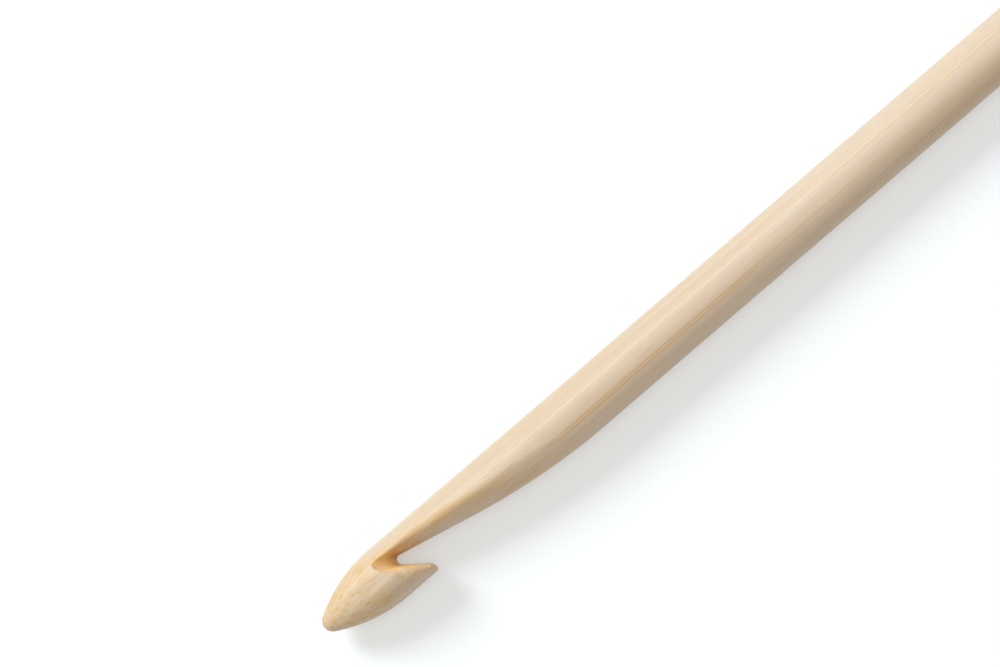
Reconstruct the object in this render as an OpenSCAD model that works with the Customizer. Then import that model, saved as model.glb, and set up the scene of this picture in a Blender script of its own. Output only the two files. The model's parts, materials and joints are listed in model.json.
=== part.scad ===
// In-line bamboo crochet hook, turned and carved from one solid rod.
// Axes: +X runs from the nose to the butt, +Y is the unbroken back, -Y is the side the throat
// opens on, and +Z is up. The hook lies along X with its head resting on Z = 0, and the origin
// is under the middle of its length.

/* [Shaft] */
// Overall length, from nose tip to butt
hook_length = 150; // [130:1:180]
// Shaft diameter, which is the hook's nominal size
shaft_d = 8; // [5:0.5:9]

/* [Head] */
// Head diameter, in shaft diameters
head_swell = 1.025; // [1.01:0.005:1.05]
// Length of the pointed nose, in shaft diameters
nose_length = 1.41; // [1.2:0.01:1.5]
// Radius of the rounded nose tip, in shaft diameters
nose_round = 0.18; // [0.12:0.01:0.25]

/* [Throat and lip] */
// Distance of the throat's centre behind the nose tip, in shaft diameters
throat_back = 1.74; // [1.6:0.02:1.9]
// Height of the throat's centre above the shaft axis, in shaft diameters
throat_rise = 0.022; // [0:0.002:0.06]
// Radius at the root of the throat, in shaft diameters
throat_round = 0.088; // [0.06:0.002:0.1]
// Angle of the lip's flat face to the shaft axis, in degrees
lip_angle = 38; // [35:0.5:42]
// Distance of the lip's end behind the nose tip, in shaft diameters
lip_reach = 2.11; // [2.05:0.01:2.2]
// Radius that blunts the lip's end, in shaft diameters
lip_round = 0.22; // [0.15:0.01:0.25]
// Angle at which the throat climbs as it runs out to the sides, in degrees
scoop_angle = 30.8; // [29:0.1:33]
// Distance that the throat slides for each unit that the underside's section rises
scoop_slide = 1.98; // [1.8:0.02:2.1]
// Rise at which the throat stops sliding, as a part of the section's radius
scoop_hold = 0.39; // [0.36:0.01:0.42]

/* [Neck] */
// Angle at which the neck's underside climbs towards the throat, in degrees
neck_angle = 12.7; // [11:0.1:14]
// Radius of the curve that runs the underside out into the shaft, in shaft diameters
neck_blend = 12.5; // [9:0.5:14]
// Radius of the underside's rounded cross-section, in shaft diameters
neck_section = 0.5125; // [0.505:0.0025:0.53]
// Distance behind the nose tip at which the throat's roof meets the underside, in shaft diameters
neck_start = 2; // [1.95:0.05:2.2]

/* [Butt] */
// Radius of the rounded butt edge, in shaft diameters
butt_edge = 0.275; // [0.2:0.025:0.35]
// Radius of the shallow dome that closes the butt, in shaft diameters
butt_dome = 0.75; // [0.7:0.05:1.2]

/* [Hidden] */
bamboo_colour = [0.91, 0.82, 0.68];

// How far a cutting shape reaches past the blank
overcut = 2;
// How far the neck's curve dips below the shaft, so that it leaves the surface cleanly
runout_dip = 0.03;

// Facets of the turned blank, and steps round each curve of the carved gap
turned_fn = 96;
throat_steps = 8;
lip_steps = 5;
blend_steps = 12;
// Angle between steps round the underside's section
section_step = 7.5;

shaft_r = shaft_d / 2;
head_r = head_swell * shaft_r;

// The nose: a long arc, tangent to the head, runs onto a small ball at the tip.
nose_end = nose_length * shaft_d;
tip_r = nose_round * shaft_d;
nose_arc_r = (head_r ^ 2 - tip_r ^ 2 + (nose_end - tip_r) ^ 2) / (2 * (head_r - tip_r));
tip_seam = tip_r - tip_r * (nose_end - tip_r) / (nose_arc_r - tip_r);

// The throat's centre, and the lip and underside tangent to the circle round it.
throat_r = throat_round * shaft_d;
throat = [throat_back * shaft_d, throat_rise * shaft_d];
lip_r = lip_round * shaft_d;
lip_x = lip_reach * shaft_d - lip_r;
lip_fall = throat_r + lip_r + (lip_x - throat.x) * sin(lip_angle);
lip_centre = [lip_x, throat.y - lip_fall / cos(lip_angle)];

// The underside: a straight stretch from the throat's roof, and then a curve that is tangent to it
// and to a line just under the shaft.
blend_r = neck_blend * shaft_d;
section_r = neck_section * shaft_d;
floor_y = -shaft_r - runout_dip;
straight_top = throat.y + throat_r / cos(neck_angle);
joint_x = neck_start * shaft_d;
roof_joint = [joint_x, straight_top - (joint_x - throat.x) * tan(neck_angle)];
blend_end = throat.x + (straight_top - floor_y) / tan(neck_angle) + blend_r * tan(neck_angle / 2);
blend_centre = [blend_end, floor_y + blend_r];

// The butt: an edge arc, tangent to the shaft, runs onto a dome.
edge_r = butt_edge * shaft_d;
dome_r = butt_dome * shaft_d;
edge_offset = sqrt((dome_r - edge_r) ^ 2 - (shaft_r - edge_r) ^ 2);
edge_start = hook_length - dome_r + edge_offset;
dome_seam = hook_length - dome_r + dome_r * edge_offset / (dome_r - edge_r);

function on_circle(centre, radius, angle) = centre + radius * [cos(angle), sin(angle)];
function spread(first, last, steps) = [for (i = [0:steps]) first + (last - first) * i / steps];

// A plain strip of the blank's outline, from the turning axis out to a radius.
module straight_band(low, low_r, high, high_r) {
  polygon([[0, low], [low_r, low], [high_r, high], [0, high]]);
}

// The part of a circle between two heights, on the positive side of the turning axis.
module arc_band(centre, radius, low, high) {
  intersection() {
    translate(centre) circle(radius, $fn = turned_fn);
    straight_band(low, head_r + overcut, high, head_r + overcut);
  }
}

// Half of the turned blank's outline: X is the radius and Y is the distance from the nose tip.
module blank_outline() {
  arc_band([0, tip_r], tip_r, 0, tip_seam);
  arc_band([head_r - nose_arc_r, nose_end], nose_arc_r, tip_seam, nose_end);
  straight_band(nose_end, head_r, blend_end, shaft_r);
  straight_band(blend_end, shaft_r, edge_start, shaft_r);
  straight_band(edge_start, shaft_r - edge_r, dome_seam, shaft_r - edge_r);
  arc_band([shaft_r - edge_r, edge_start], edge_r, edge_start, dome_seam);
  arc_band([0, hook_length - dome_r], dome_r, dome_seam, hook_length);
}

// How far the underside's rounded section has risen at an angle round it.
function section_rise(angle) = section_r * (1 - cos(angle));

// The gap's outline where the underside has risen by a given height. The throat slides up and
// towards the nose until the underside has risen far enough. The lip's face and the throat's roof
// stay tangent to it, and the rest of the underside moves straight up.
function gap_outline(rise) =
  let(
    held = min(rise, scoop_hold * section_r),
    centre = throat + scoop_slide * held * [-cos(scoop_angle), sin(scoop_angle)],
    from_lip = centre - lip_centre,
    face = 180 - atan2(from_lip.y, from_lip.x) - asin((throat_r + lip_r) / norm(from_lip)),
    to_joint = roof_joint + [0, rise] - centre,
    roof = asin(throat_r / norm(to_joint)) - atan2(to_joint.y, to_joint.x)
  )
  concat(
    [[lip_centre.x + lip_r, floor_y - overcut]],
    [for (a = spread(0, 90 - face, lip_steps)) on_circle(lip_centre, lip_r, a)],
    [for (a = spread(270 - face, 90 - roof, throat_steps)) on_circle(centre, throat_r, a)],
    [roof_joint + [0, rise]],
    [for (a = spread(270 - neck_angle, 270, blend_steps)) on_circle(blend_centre, blend_r, a) + [0, rise]],
    [[blend_end, floor_y - overcut]]
  );

// One [position across the hook, outline] pair for each step round the underside's section.
gap_slices = concat(
  [[-head_r - overcut, gap_outline(section_r)]],
  [for (a = [-90:section_step:90]) [section_r * sin(a), gap_outline(section_rise(a))]],
  [[head_r + overcut, gap_outline(section_r)]]
);

// The space that is carved out of the blank to leave the lip, the throat and the neck.
module throat_gap() {
  outline_size = len(gap_slices[0][1]);
  last = len(gap_slices) - 1;
  polyhedron(
    points = [for (slice = gap_slices) for (p = slice[1]) [p.x, p.y, slice[0]]],
    faces = concat(
      [[for (i = [outline_size - 1:-1:0]) i]],
      [[for (i = [0:outline_size - 1]) last * outline_size + i]],
      [
        for (s = [0:last - 1]) for (i = [0:outline_size - 1])
          let(next = (i + 1) % outline_size, here = s * outline_size, above = here + outline_size)
          each [[here + i, above + next, above + i], [here + i, here + next, above + next]]
      ]
    )
  );
}

// The whole hook: a turned blank with the throat and the neck's underside carved out of it.
module bamboo_hook() {
  color(bamboo_colour)
    translate([-hook_length / 2, 0, head_r])
      difference() {
        rotate([0, 90, 0]) rotate_extrude($fn = turned_fn) blank_outline();
        throat_gap();
      }
}

bamboo_hook();
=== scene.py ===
"""A bamboo crochet hook lying on a plain pale floor.

The hook is one solid of turned and carved bamboo. Its visible surface is worked out here as the
zero level of a signed distance: a turned blank, less the gap that is carved to leave the lip, the
throat and the neck, with every edge sanded round. Lengths are in millimetres, measured in the
hook's own axes: u runs from the nose tip to the butt, y towards the unbroken back and z up from
the shaft's axis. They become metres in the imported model's frame when the mesh is made.
"""

import json
import math

import bpy
import numpy as np
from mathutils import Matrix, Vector


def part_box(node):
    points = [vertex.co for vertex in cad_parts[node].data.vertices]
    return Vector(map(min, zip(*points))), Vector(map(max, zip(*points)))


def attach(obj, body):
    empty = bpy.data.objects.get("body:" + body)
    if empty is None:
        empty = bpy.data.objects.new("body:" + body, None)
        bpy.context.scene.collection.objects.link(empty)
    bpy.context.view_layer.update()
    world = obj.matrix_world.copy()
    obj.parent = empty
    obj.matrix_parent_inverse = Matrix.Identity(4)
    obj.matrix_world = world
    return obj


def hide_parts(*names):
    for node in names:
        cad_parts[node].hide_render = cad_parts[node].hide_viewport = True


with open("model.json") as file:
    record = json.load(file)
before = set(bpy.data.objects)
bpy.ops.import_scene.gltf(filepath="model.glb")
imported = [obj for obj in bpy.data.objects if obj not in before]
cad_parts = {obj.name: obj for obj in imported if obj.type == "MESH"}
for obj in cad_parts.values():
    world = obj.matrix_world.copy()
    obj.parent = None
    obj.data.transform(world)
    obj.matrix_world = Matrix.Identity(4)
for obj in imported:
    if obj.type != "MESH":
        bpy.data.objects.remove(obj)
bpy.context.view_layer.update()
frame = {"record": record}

# ---------------------------------------------------------------- sizes
# The shaft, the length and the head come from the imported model, and the rest are proportions.
MM = 0.001
NODE = "bamboo_hook"
CAD_LOW, CAD_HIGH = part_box(NODE)
GRIP = next(m for m in frame["record"]["mounts"] if m["name"] == "grip_shaft")

SHAFT_R = GRIP["dims"]["r_mm"]
SHAFT_D = 2 * SHAFT_R
LENGTH = (CAD_HIGH.x - CAD_LOW.x) / MM
AXIS_HEIGHT = GRIP["pos_m"][2] / MM

# The nose: a long arc, tangent to the head, runs onto a small ball at the tip.
HEAD_R = AXIS_HEIGHT
NOSE_END = 1.41 * SHAFT_D
TIP_R = 0.18 * SHAFT_D
NOSE_ARC_R = (HEAD_R**2 - TIP_R**2 + (NOSE_END - TIP_R) ** 2) / (2 * (HEAD_R - TIP_R))

# The throat, and the lip and underside tangent to the circle round its centre.
LIP_ANGLE = math.radians(38)
NECK_ANGLE = math.radians(12.7)
THROAT = (1.74 * SHAFT_D, 0.022 * SHAFT_D)
THROAT_R = 0.088 * SHAFT_D
LIP_R = 0.22 * SHAFT_D
LIP_U = 2.11 * SHAFT_D - LIP_R
LIP_FALL = THROAT_R + LIP_R + (LIP_U - THROAT[0]) * math.sin(LIP_ANGLE)
LIP_CENTRE = (LIP_U, THROAT[1] - LIP_FALL / math.cos(LIP_ANGLE))

# The way in which the throat slides as the underside's section rises, how far it slides for each
# unit of that rise, and the rise at which it stops.
SCOOP_ANGLE = math.radians(30.8)
SCOOP_SLIDE = 1.98
SECTION_R = 0.5125 * SHAFT_D
SCOOP_HOLD = 0.39 * SECTION_R

# The underside: a straight stretch from the throat's roof, and then a curve that is tangent to it
# and to a line just under the shaft.
BLEND_R = 12.5 * SHAFT_D
BLEND_FLOOR = -SHAFT_R - 0.03
STRAIGHT_TOP = THROAT[1] + THROAT_R / math.cos(NECK_ANGLE)
JOINT_U = 2 * SHAFT_D
ROOF_JOINT = (JOINT_U, STRAIGHT_TOP - (JOINT_U - THROAT[0]) * math.tan(NECK_ANGLE))
BLEND_FALL = STRAIGHT_TOP - BLEND_FLOOR
BLEND_END = THROAT[0] + BLEND_FALL / math.tan(NECK_ANGLE) + BLEND_R * math.tan(NECK_ANGLE / 2)

# The butt: an edge arc, tangent to the shaft, runs onto a dome.
EDGE_R = 0.275 * SHAFT_D
DOME_R = 0.75 * SHAFT_D
EDGE_START = LENGTH - DOME_R + math.sqrt((DOME_R - EDGE_R) ** 2 - (SHAFT_R - EDGE_R) ** 2)

# How far the edges of the carved gap are sanded round, as (u, radius) along the hook. The neck's
# edge starts crisp at the throat, softens along the neck, and fades where the underside runs out
# into the shaft. The lip's edge is softest beside the throat and crisper towards both its ends.
NECK_EDGE = ((12.5, 0.2), (15.0, 0.6), (17.5, 1.3), (20.0, 1.8), (34.0, 2.0), (BLEND_END, 0.05))
LIP_EDGE = ((10.4, 0.35), (11.4, 1.1), (12.6, 1.25), (13.4, 0.95), (15.2, 0.75), (16.8, 0.4))
# Slope of the line through the throat that parts the neck's edge from the lip's, and the distance
# to each side of it over which one edge's radius gives way to the other's.
EDGE_DIVIDE = math.tan(math.radians(30))
EDGE_MERGE = 0.4


def smooth(low, high, value):
    """0 below low and 1 above high, with an eased step between."""
    t = np.clip((value - low) / (high - low), 0, 1)
    return t * t * (3 - 2 * t)


# ---------------------------------------------------------------- shape
def left_of(u, rho, start, end):
    """True where (u, rho) lies to the left of the line that runs from start to end."""
    return (end[0] - start[0]) * (rho - start[1]) > (end[1] - start[1]) * (u - start[0])


def turned_blank(p):
    """Signed distance to the hook as it comes off the lathe."""
    u, rho = p[:, 0], np.hypot(p[:, 1], p[:, 2])
    nose_centre, tip_centre = (NOSE_END, HEAD_R - NOSE_ARC_R), (TIP_R, 0)
    edge_centre, dome_centre = (EDGE_START, SHAFT_R - EDGE_R), (LENGTH - DOME_R, 0)
    swell = (HEAD_R - SHAFT_R) * np.clip((BLEND_END - u) / (BLEND_END - NOSE_END), 0, 1)
    on_tip = left_of(u, rho, nose_centre, tip_centre) & (u < NOSE_END)
    on_dome = left_of(u, rho, edge_centre, dome_centre) & (u > EDGE_START)
    return np.select(
        [on_tip, u < NOSE_END, on_dome, u > EDGE_START],
        [
            np.hypot(u - TIP_R, rho) - TIP_R,
            np.hypot(u - nose_centre[0], rho - nose_centre[1]) - NOSE_ARC_R,
            np.hypot(u - dome_centre[0], rho) - DOME_R,
            np.hypot(u - edge_centre[0], rho - edge_centre[1]) - EDGE_R,
        ],
        rho - SHAFT_R - swell,
    )


def past_lip_face(u, y, face):
    """Distance into the gap from the lip's face, which slopes at face, and its blunted end."""
    du, dy = u - LIP_CENTRE[0], y - LIP_CENTRE[1]
    along = du * np.cos(face) - dy * np.sin(face)
    outward = du * np.sin(face) + dy * np.cos(face)
    return np.select([along <= 0, dy <= 0], [outward, du], np.hypot(du, dy)) - LIP_R


def below_underside(u, y, roof):
    """Distance into the gap from the neck's underside: a roof that slopes at roof up to the
    joint, a straight stretch, and the curve that runs out under the shaft."""
    ju, jy = u - ROOF_JOINT[0], y - ROOF_JOINT[1]
    near = -ju * np.sin(roof) - jy * np.cos(roof)
    straight = -ju * math.sin(NECK_ANGLE) - jy * math.cos(NECK_ANGLE)
    bu, by = u - BLEND_END, y - BLEND_FLOOR - BLEND_R
    curved = bu * math.cos(NECK_ANGLE) > by * math.sin(NECK_ANGLE)
    far = np.select([u > BLEND_END, curved], [BLEND_FLOOR - y, np.hypot(bu, by) - BLEND_R], straight)
    return np.where(ju < 0, np.minimum(near, far), far)


def gap_outline(p):
    """Signed distance, in a slice along the hook, to the gap between the lip and the neck. The
    underside's section is round, so that a slice to one side has its underside higher. Its throat
    slides up and towards the nose until the underside has risen far enough. The lip's face and
    the throat's roof stay tangent to the throat."""
    u, y = p[:, 0], p[:, 1]
    across = np.clip(p[:, 2] / SECTION_R, -1, 1)
    rise = SECTION_R * (1 - np.sqrt(1 - across**2))
    held = np.minimum(rise, SCOOP_HOLD)
    cu = THROAT[0] - SCOOP_SLIDE * held * math.cos(SCOOP_ANGLE)
    cy = THROAT[1] + SCOOP_SLIDE * held * math.sin(SCOOP_ANGLE)
    lu, ly = cu - LIP_CENTRE[0], cy - LIP_CENTRE[1]
    face = math.pi - np.arctan2(ly, lu) - np.arcsin((THROAT_R + LIP_R) / np.hypot(lu, ly))
    ju, jy = ROOF_JOINT[0] - cu, ROOF_JOINT[1] + rise - cy
    roof = np.arcsin(THROAT_R / np.hypot(ju, jy)) - np.arctan2(jy, ju)

    du, dy = u - cu, y - cy
    from_lip = THROAT_R - past_lip_face(u, y, face)
    from_neck = THROAT_R - below_underside(u, y - rise, roof)
    beside_lip = du * np.cos(face) - dy * np.sin(face) >= 0
    beside_neck = du * np.cos(roof) - dy * np.sin(roof) >= 0
    inside = (from_lip <= 0) & (from_neck <= 0)
    return np.select(
        [inside, (from_lip > 0) & beside_lip, (from_neck > 0) & beside_neck],
        [np.maximum(from_lip, from_neck), from_lip, from_neck],
        np.hypot(du, dy),
    ) - THROAT_R


def into_gap(p):
    """Distance by which a point lies in the gap, which ends where the underside's curve does."""
    step = np.array([0, 0, 0.01])
    tilt = (gap_outline(p + step) - gap_outline(p - step)) / (2 * step[2])
    return np.minimum(-gap_outline(p) / np.sqrt(1 + tilt**2), BLEND_END - p[:, 0])


def gradient(field, p, step=0.002):
    """Gradient of field at each point."""
    nudge = step * np.eye(3)
    return np.stack([(field(p + n) - field(p - n)) / (2 * step) for n in nudge], 1)


def normal(field, p):
    """Unit gradient of field at each point."""
    slope = gradient(field, p, step=0.01)
    return slope / np.maximum(np.linalg.norm(slope, axis=1, keepdims=True), 1e-9)


def edge_radius(p):
    """Radius to which the nearest edge of the gap is sanded."""
    u, y = p[:, 0], p[:, 1]
    above = y - THROAT[1] + (u - THROAT[0]) * EDGE_DIVIDE
    on_neck = smooth(-EDGE_MERGE, EDGE_MERGE, above)
    lip, neck = np.interp(u, *zip(*LIP_EDGE)), np.interp(u, *zip(*NECK_EDGE))
    return lip + (neck - lip) * on_neck


def hook_surface(p):
    """Signed distance to the finished hook: the blank less the gap, with its edges rounded. The
    rounded corner is only worked out for points beside both surfaces and not deep in the hook."""
    beside, deep, most_lean = -0.3, -0.05, 0.999
    radius = edge_radius(p)
    a, b = turned_blank(p) + radius, into_gap(p) + radius
    distance = np.maximum(a, b)
    near = np.flatnonzero((np.minimum(a, b) > beside) & (distance > deep))
    a, b = a[near], b[near]
    lean = (normal(turned_blank, p[near]) * normal(into_gap, p[near])).sum(1)
    lean = np.clip(lean, -most_lean, most_lean)
    corner = np.sqrt((a**2 + b**2 - 2 * lean * a * b) / (1 - lean**2))
    between = (a > lean * b) & (b > lean * a)
    distance[near] = np.where(between, corner, distance[near])
    return distance - radius


# ---------------------------------------------------------------- mesh
def graded(stops):
    """Positions whose spacing runs smoothly through (position, spacing) stops."""
    at = [stops[0][0]]
    while at[-1] < stops[-1][0]:
        at.append(at[-1] + float(np.interp(at[-1], *zip(*stops))))
    return np.array(at)


def surface_net(axes, field):
    """Vertices and quads of the surface where field is zero, one vertex in each grid cell that
    the surface crosses."""
    shape = tuple(len(a) for a in axes)
    points = np.stack(np.meshgrid(*axes, indexing="ij"), -1).reshape(-1, 3)
    value = field(points).reshape(shape)
    points = points.reshape(*shape, 3)
    total, count = np.zeros((value.size, 3)), np.zeros(value.size)
    quads = []
    for axis in range(3):
        here = [slice(None)] * 3
        here[axis] = slice(0, -1)
        there = [slice(None)] * 3
        there[axis] = slice(1, None)
        a, b = value[tuple(here)], value[tuple(there)]
        at = np.argwhere((a < 0) != (b < 0))
        i = tuple(at.T)
        t = (a[i] / (a[i] - b[i]))[:, None]
        crossing = points[tuple(here)][i] * (1 - t) + points[tuple(there)][i] * t
        corners = []
        for back_b, back_c in ((1, 1), (0, 1), (0, 0), (1, 0)):
            cell = at.copy()
            cell[:, (axis + 1) % 3] -= back_b
            cell[:, (axis + 2) % 3] -= back_c
            flat = np.ravel_multi_index(tuple(cell.T), shape)
            corners.append(flat)
            np.add.at(total, flat, crossing)
            np.add.at(count, flat, 1)
        ring = np.stack(corners, 1)
        outward = a[i] < 0
        quads.append(np.where(outward[:, None], ring, ring[:, ::-1]))
    used = np.flatnonzero(count)
    number = np.full(value.size, -1)
    number[used] = np.arange(len(used))
    return total[used] / count[used, None], number[np.concatenate(quads)]


def settle(points, quads, field, evening=4, rounds=6):
    """Puts each vertex exactly on the surface in rounds, the first of which also even out the
    vertices' spacing."""
    a, b = quads.reshape(-1), np.roll(quads, -1, axis=1).reshape(-1)
    near = np.bincount(a, minlength=len(points))[:, None]
    for turn in range(rounds):
        if turn < evening:
            total = np.stack([np.bincount(a, points[b, k], len(points)) for k in range(3)], 1)
            points = 0.5 * points + 0.5 * total / near
        slope = gradient(field, points)
        points = points - field(points)[:, None] * slope / (slope**2).sum(1, keepdims=True)
    return points


def hook_mesh():
    """The hook's mesh in metres. Its attribute "carved" grows from below 0 on turned surfaces to
    above 0 on carved ones, in millimetres. Its grid is fine round the head and the butt, and
    coarse along the plain shaft, where nothing changes."""
    fine, margin = 0.13, 0.3
    medium, coarse, across = 4 * fine, 8 * fine, 1.2 * fine
    fine_end, coarse_start, coarse_end = BLEND_END / 2.2, BLEND_END + 12, EDGE_START - 6
    along = graded([
        (-margin, fine), (fine_end, fine), (BLEND_END, medium), (coarse_start, coarse),
        (coarse_end, coarse), (EDGE_START, 2 * fine), (LENGTH + margin, fine),
    ])
    reach = HEAD_R + margin
    side = np.linspace(-reach, reach, 2 * round(reach / across) + 1)
    points, quads = surface_net((along, side, side), hook_surface)
    points = settle(points, quads, hook_surface)
    carved = into_gap(points) - turned_blank(points)

    mesh = bpy.data.meshes.new("hook_body")
    placed = (points - [LENGTH / 2, 0, -AXIS_HEIGHT]) * MM
    mesh.from_pydata(placed.tolist(), [], quads.tolist())
    mesh.validate()
    mesh.shade_smooth()
    mesh.attributes.new("carved", "FLOAT", "POINT").data.foreach_set("value", carved)
    return mesh


# ---------------------------------------------------------------- materials
class Nodes:
    """A short way to write a material's node tree."""

    def __init__(self, material):
        material.use_nodes = True
        self.tree = material.node_tree
        self.shader = self.tree.nodes["Principled BSDF"]

    def put(self, socket, value):
        if isinstance(value, bpy.types.NodeSocket):
            self.tree.links.new(value, socket)
        else:
            socket.default_value = value

    def add_all(self, kind, inputs, **settings):
        """A new node with its settings and inputs. Returns all its outputs."""
        node = self.tree.nodes.new("ShaderNode" + kind)
        for name, value in settings.items():
            setattr(node, name, value)
        for key, value in inputs.items():
            self.put(node.inputs[key], value)
        return node.outputs

    def add(self, kind, inputs, output=0, **settings):
        return self.add_all(kind, inputs, **settings)[output]

    def math(self, operation, a, b=0.0):
        return self.add("Math", {0: a, 1: b}, operation=operation)

    def times(self, *factors):
        out = factors[0]
        for factor in factors[1:]:
            out = self.math("MULTIPLY", out, factor)
        return out

    def ramp(self, value, low, high, to_low=0.0, to_high=1.0):
        """An eased step from to_low to to_high as value runs from low to high."""
        ends = {"From Min": low, "From Max": high, "To Min": to_low, "To Max": to_high}
        return self.add("MapRange", {"Value": value, **ends}, interpolation_type="SMOOTHSTEP")

    def mix(self, amount, a, b):
        return self.add("Mix", {0: amount, 6: a, 7: b}, output=2, data_type="RGBA")

    def vector(self, operation, a, b):
        return self.add("VectorMath", {0: a, 1: b}, operation=operation)

    def split(self, vector):
        """The three parts of a vector."""
        return self.add_all("SeparateXYZ", {0: vector})

    def stretched(self, point, along, across, offset=0.0):
        """point scaled differently along the shaft and across it."""
        scaled = self.vector("MULTIPLY", point, (along, across, across))
        return self.vector("ADD", scaled, (offset,) * 3)

    def noise(self, point, detail=2.0, roughness=0.5):
        inputs = {"Vector": point, "Scale": 1.0, "Detail": detail, "Roughness": roughness}
        return self.add("TexNoise", inputs, output=0)


def rgba(red, green, blue):
    return (red, green, blue, 1.0)


# The bamboo's ground, from pale to warm, and the fibres in it. The palest also paints a
# highlight line along the shaft.
PALE = rgba(0.543, 0.448, 0.348)
WARM = rgba(0.518, 0.413, 0.302)
PALE_FIBRE_AND_HIGHLIGHT = rgba(0.68, 0.575, 0.45)
GOLD = rgba(0.54, 0.35, 0.12)
AMBER = rgba(0.42, 0.27, 0.11)
BROWN = rgba(0.36, 0.245, 0.145)
# The throat, coloured by the cutter's heat: its lip side and its neck side, and its root, where
# that colour is deepened by painted shade in the recess.
TOASTED = rgba(0.75, 0.43, 0.125)
SINGED = rgba(0.61, 0.365, 0.155)
ROOT_TOAST_AND_SHADE = rgba(0.50, 0.22, 0.065)
TOAST_CENTRE = (THROAT[0] - 0.5, THROAT[1] + 1.25, 0)

# How far the grain leans towards the hook's back and upwards for each unit of its length, and
# how far it wanders.
GRAIN_LEAN = (-0.0038, 0.0015)
GRAIN_WANDER = 0.7

# Fibres that show as single lines along the shaft: the angle from the top of the hook towards its
# back in degrees, the half width, where the line starts and ends, its colour and its strength.
# The first, pale line is partly a fibre and partly a painted highlight, the reflection of a long
# lamp that lies along the top of the back.
GRAIN_AND_HIGHLIGHT_LINES = [
    # Pale line near the top of the back: partly a fibre, partly a painted highlight.
    (23.5, 0.13, 10, 160, PALE_FIBRE_AND_HIGHLIGHT, 0.22),
    (-7.5, 0.50, 6, 12, PALE_FIBRE_AND_HIGHLIGHT, 0.5),
    (20.0, 0.17, 88, 160, GOLD, 0.35),
    (-17.6, 0.20, 42, 78, GOLD, 0.35),
    (-14.6, 0.09, 40, 76, AMBER, 0.55),
    (-21.4, 0.10, 40, 76, AMBER, 0.6),
    (-14.0, 0.08, 78, 96, GOLD, 0.4),
    (-43.5, 0.08, 82, 160, BROWN, 0.4),
    (-52.0, 0.08, 76, 160, BROWN, 0.5),
    (-61.0, 0.08, 80, 140, BROWN, 0.35),
    (118.0, 0.20, 30, 95, GOLD, 0.45),
    (164.0, 0.10, 60, 130, BROWN, 0.4),
    (-112.0, 0.14, 50, 120, GOLD, 0.4),
    (-150.0, 0.09, 25, 110, BROWN, 0.35),
]

# Half the distance over which such a line fades in at its start and out at its end.
LINE_FADE_IN, LINE_FADE_OUT = 4, 6


def hook_point(n):
    """The shaded point in the hook's own axes, in millimetres."""
    place = n.add("TexCoord", {}, output=3)
    point = n.vector("MULTIPLY", place, (1 / MM,) * 3)
    return n.vector("ADD", point, (LENGTH / 2, 0, -AXIS_HEIGHT))


def along_grain(n, point, u):
    """point, shifted so that its first axis follows the grain, which leans a little and wanders."""
    wander = n.add("TexNoise", {"Vector": n.stretched(point, 0.03, 0.1), "Scale": 1.0}, output=1)
    wander = n.vector("SUBTRACT", wander, (0.5, 0.5, 0.5))
    drift = n.vector("MULTIPLY", wander, (0, GRAIN_WANDER, GRAIN_WANDER))
    lean = n.add("CombineXYZ", {1: n.times(u, GRAIN_LEAN[0]), 2: n.times(u, GRAIN_LEAN[1])})
    return n.vector("ADD", n.vector("ADD", point, drift), lean)


def ground_colour(n, grain, bands, fine):
    """Broad tone bands, then fine fibres, then short flecks."""
    broad = n.noise(n.stretched(grain, 0.015, 0.5))
    fleck = n.noise(n.stretched(grain, 1.1, 9.0, 3.0), detail=2.0)
    colour = n.mix(n.ramp(broad, 0.35, 0.65), PALE, WARM)
    colour = n.mix(n.ramp(bands, 0.5, 0.75, 0.0, 0.2), colour, GOLD)
    colour = n.mix(n.ramp(fine, 0.5, 0.8, 0.0, 0.28), colour, BROWN)
    return n.mix(n.ramp(fleck, 0.55, 0.8, 0.0, 0.18), colour, BROWN)


def bundle_colour(n, colour, grain, carved, fine, threads):
    """Fibre bundles: long thin cells along the grain. They show as streaks where a surface cuts
    across them at a slant, and as dots on the nose. They are faint along the shaft, and fainter
    on carved surfaces than on turned ones."""
    _, back, up = n.split(grain)
    cells = {"Vector": n.add("CombineXYZ", {0: back, 1: up}), "Scale": 1.4, "Randomness": 0.85}
    bundle = n.add("TexVoronoi", cells, output=0, voronoi_dimensions="2D")
    tint = n.split(n.add("TexVoronoi", cells, output=1, voronoi_dimensions="2D"))
    tears = n.noise(n.stretched(grain, 0.35, 3.2, 21.0), detail=3.0, roughness=0.6)
    rough = n.math("SUBTRACT", n.math("ADD", fine, tears), 1.0)
    ragged = n.math("ADD", bundle, n.times(rough, 0.55))
    facing = n.split(n.add("TexCoord", {}, output=1))
    slant = n.ramp(n.math("ABSOLUTE", facing[0]), 0.0, 0.15, 0.16, 1.0)
    slant = n.times(slant, n.ramp(carved, 0.3, 1.3, 1.0, 0.5))

    patches = n.noise(n.stretched(grain, 0.22, 1.2, 29.0), detail=2.0)
    core = n.times(n.ramp(ragged, 0.10, 0.44, 1.0, 0.0), n.ramp(tint[0], 0.1, 0.9, 0.25, 1.0))
    heart = n.times(n.ramp(ragged, 0.05, 0.16, 1.0, 0.0), tint[1], 0.6)
    colour = n.mix(n.times(slant, n.ramp(threads, 0.42, 0.66, 0.1, 0.65)), colour, GOLD)
    colour = n.mix(n.times(slant, n.ramp(patches, 0.48, 0.68, 0.0, 0.35)), colour, AMBER)
    colour = n.mix(n.times(core, slant), colour, GOLD)
    return n.mix(n.times(heart, slant), colour, BROWN)


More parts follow.
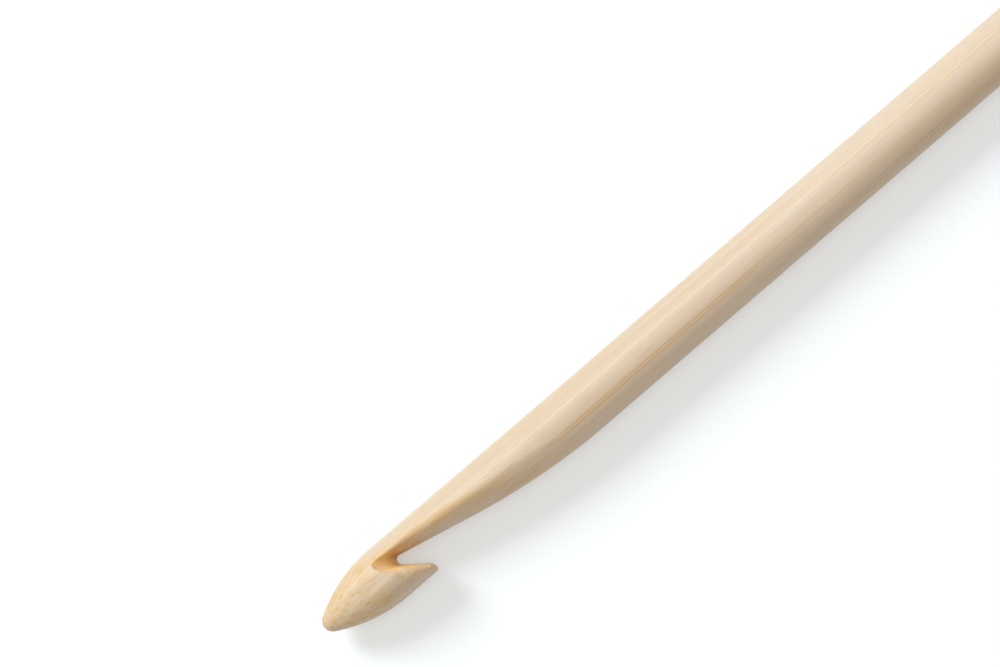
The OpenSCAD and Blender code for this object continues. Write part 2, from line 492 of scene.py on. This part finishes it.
def line_colour(n, colour, grain, u, fine):
    """Single fibres along the shaft, at their distances round it from its top, and a painted
    highlight line among them.
    """
    _, back, up = n.split(grain)
    around = n.times(n.math("ARCTAN2", back, up), SHAFT_R)
    for angle, half, start, end, shade, strength in GRAIN_AND_HIGHLIGHT_LINES:
        off = n.math("ABSOLUTE", n.math("SUBTRACT", around, math.radians(angle) * SHAFT_R))
        mask = n.times(
            n.ramp(off, 0.4 * half, 1.5 * half, 1.0, 0.0),
            n.ramp(u, start - LINE_FADE_IN, start + LINE_FADE_IN),
            n.ramp(u, end - LINE_FADE_OUT, end + LINE_FADE_OUT, 1.0, 0.0),
            n.ramp(fine, 0.2, 0.5, 0.55, 1.0),
        )
        colour = n.mix(n.times(mask, strength), colour, shade)
    return colour


def throat_colour(n, colour, point, carved, fine, threads):
    """The throat's toasted surface, browner on the neck's side and darkest at its root, where
    painted shade deepens it in the recess, and the golden edge that runs from it along the neck."""
    u, y, _ = n.split(point)
    root = n.vector("MULTIPLY", n.vector("SUBTRACT", point, TOAST_CENTRE), (1.0, 1.0, 0.3))
    reach = n.add("VectorMath", {0: root}, output=1, operation="LENGTH")
    above = n.math("ADD", y, n.times(u, EDGE_DIVIDE))
    divide = THROAT[1] + THROAT[0] * EDGE_DIVIDE
    on_lip = n.ramp(above, divide - 0.3, divide + 0.3, 1.0, 0.0)
    on_neck = n.math("SUBTRACT", 1.0, on_lip)

    edge = n.ramp(n.math("ABSOLUTE", carved), 0.1, 1.1, 1.0, 0.0)
    edge = n.times(edge, on_neck, n.ramp(reach, 8.0, 20.0, 1.0, 0.0))
    colour = n.mix(n.times(edge, n.ramp(threads, 0.35, 0.65, 0.3, 0.75)), colour, GOLD)

    # On the lip's side the toast spreads a little past the throat's edge, and fades sooner.
    spread = n.times(on_lip, n.ramp(reach, 1.2, 4.0, 0.6, -0.25))
    cut = n.ramp(n.math("ADD", carved, spread), -0.15, 0.45)
    faded = n.math("ADD", reach, n.times(on_lip, 0.9))
    toast = n.times(cut, n.ramp(faded, 1.5, 7.0, 1.0, 0.0), n.ramp(fine, 0.2, 0.8, 1.0, 0.75))
    burnt = n.mix(n.times(on_neck, n.ramp(u, 12.6, 14.4)), TOASTED, SINGED)
    colour = n.mix(n.times(toast, 0.9), colour, burnt)
    # Darkest at the throat's root: the toast's colour, darkened by painted shade deep in the recess.
    return n.mix(n.times(cut, n.ramp(reach, 0.2, 1.7, 0.85, 0.0)), colour, ROOT_TOAST_AND_SHADE)


def bamboo_material():
    """Waxed bamboo: pale ground, long fibre bundles that follow the grain, and a toasted throat with
    painted shade at its root.
    """
    material = bpy.data.materials.new("waxed_bamboo")
    n = Nodes(material)
    point = hook_point(n)
    u = n.split(point)[0]
    carved = n.add("Attribute", {}, output=2, attribute_name="carved")
    grain = along_grain(n, point, u)
    bands = n.noise(n.stretched(grain, 0.03, 2.2, 5.0), detail=3.0)
    fine = n.noise(n.stretched(grain, 0.12, 7.0, 9.0), detail=3.0, roughness=0.6)
    threads = n.noise(n.stretched(grain, 0.13, 4.0, 13.0), detail=3.0, roughness=0.6)

    colour = ground_colour(n, grain, bands, fine)
    colour = bundle_colour(n, colour, grain, carved, fine, threads)
    colour = line_colour(n, colour, grain, u, fine)
    colour = throat_colour(n, colour, point, carved, fine, threads)

    n.put(n.shader.inputs["Base Color"], colour)
    n.put(n.shader.inputs["Roughness"], n.ramp(fine, 0.2, 0.8, 0.44, 0.58))
    n.shader.inputs["Specular IOR Level"].default_value = 0.4
    n.shader.inputs["Subsurface Weight"].default_value = 0.35
    n.shader.inputs["Subsurface Radius"].default_value = (1.0, 0.55, 0.3)
    n.shader.inputs["Subsurface Scale"].default_value = 1.5 * MM
    height = n.math("ADD", n.times(fine, 0.7), n.times(bands, 0.5))
    relief = {"Strength": 0.3, "Distance": 0.03 * MM, "Height": height}
    n.put(n.shader.inputs["Normal"], n.add("Bump", relief))
    return material


def floor_material():
    """Plain pale light table: matt, and faintly lit from below."""
    material = bpy.data.materials.new("studio_floor")
    n = Nodes(material)
    n.shader.inputs["Base Color"].default_value = rgba(0.57, 0.605, 0.63)
    n.shader.inputs["Emission Color"].default_value = rgba(1.0, 1.0, 1.0)
    n.shader.inputs["Emission Strength"].default_value = 0.306
    n.shader.inputs["Roughness"].default_value = 0.95
    n.shader.inputs["Specular IOR Level"].default_value = 0.0
    return material


# ---------------------------------------------------------------- the scene
# The middle of the camera's view, as distances from the nose tip along the hook and towards its
# back, and the view's width, all in shaft diameters.
VIEW_ALONG, VIEW_BACK, VIEW_WIDTH = 5.461, 1.828, 16.806


def beside_nose(along, back):
    """A point at the height of the shaft's axis, in shaft diameters from the nose tip."""
    nose_tip = Vector((CAD_LOW.x, 0, AXIS_HEIGHT * MM))
    return nose_tip + Vector((along, back, 0)) * SHAFT_D * MM


def show(name, mesh, material):
    """A new object with one material."""
    piece = bpy.data.objects.new(name, mesh)
    bpy.context.scene.collection.objects.link(piece)
    mesh.materials.append(material)
    return piece


def make_floor():
    """A wide flat floor at the height that the hook lies on."""
    half = 6.0
    mesh = bpy.data.meshes.new("studio_floor")
    corners = [(-half, -half, 0), (half, -half, 0), (half, half, 0), (-half, half, 0)]
    mesh.from_pydata(corners, [], [(0, 1, 2, 3)])
    floor = show("studio_floor", mesh, floor_material())
    floor.location.z = CAD_LOW.z


def aim(lamp, place, target):
    """Puts a lamp at a place, facing a target."""
    lamp.location = place
    lamp.rotation_mode = "QUATERNION"
    lamp.rotation_quaternion = (target - place).to_track_quat("-Z", "Y")


def softbox(name, target, azimuth, elevation, distance, size, power, colour):
    """A square soft light, azimuth degrees round from +X and elevation degrees above the floor."""
    lamp = bpy.data.lights.new(name, "AREA")
    lamp.shape = "SQUARE"
    lamp.size = size
    lamp.energy = power
    lamp.color = colour
    light = bpy.data.objects.new(name, lamp)
    bpy.context.scene.collection.objects.link(light)
    a, e = math.radians(azimuth), math.radians(elevation)
    way = Vector((math.cos(a) * math.cos(e), math.sin(a) * math.cos(e), math.sin(e)))
    aim(light, target + distance * way, target)


def make_light(target):
    """A large soft key from the back's side, low over the floor, a weak light overhead, and an
    even pale surround."""
    softbox(
        "key", target, azimuth=104, elevation=35, distance=1.6, size=0.66, power=25.0,
        colour=(0.93, 1.0, 1.055),
    )
    softbox(
        "overhead", target, azimuth=101, elevation=88, distance=1.6, size=0.75, power=7.0,
        colour=(1.0, 0.95, 0.9),
    )
    world = bpy.data.worlds.new("studio")
    world.use_nodes = True
    surround = world.node_tree.nodes["Background"]
    surround.inputs["Color"].default_value = rgba(1.0, 0.945, 0.89)
    surround.inputs["Strength"].default_value = 0.53
    bpy.context.scene.world = world


def make_camera(target):
    """Straight down on the hook through a long lens, with the shaft running up to the right."""
    shaft_tilt = math.radians(40.7)
    view_width = VIEW_WIDTH * SHAFT_D * MM
    distance = 1.2
    camera = bpy.data.objects.new("camera", bpy.data.cameras.new("camera"))
    bpy.context.scene.collection.objects.link(camera)
    camera.data.lens = camera.data.sensor_width * distance / view_width
    camera.data.clip_end = 50
    camera.location = target + Vector((0, 0, distance))
    camera.rotation_euler = (0, 0, -shaft_tilt)
    bpy.context.scene.camera = camera


def main():
    hook = show("hook_body", hook_mesh(), bamboo_material())
    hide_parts(NODE)
    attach(hook, "root")
    make_floor()
    make_light(beside_nose(VIEW_ALONG, 0))
    make_camera(beside_nose(VIEW_ALONG, VIEW_BACK))
    bpy.context.scene.view_settings.view_transform = "Standard"


main()
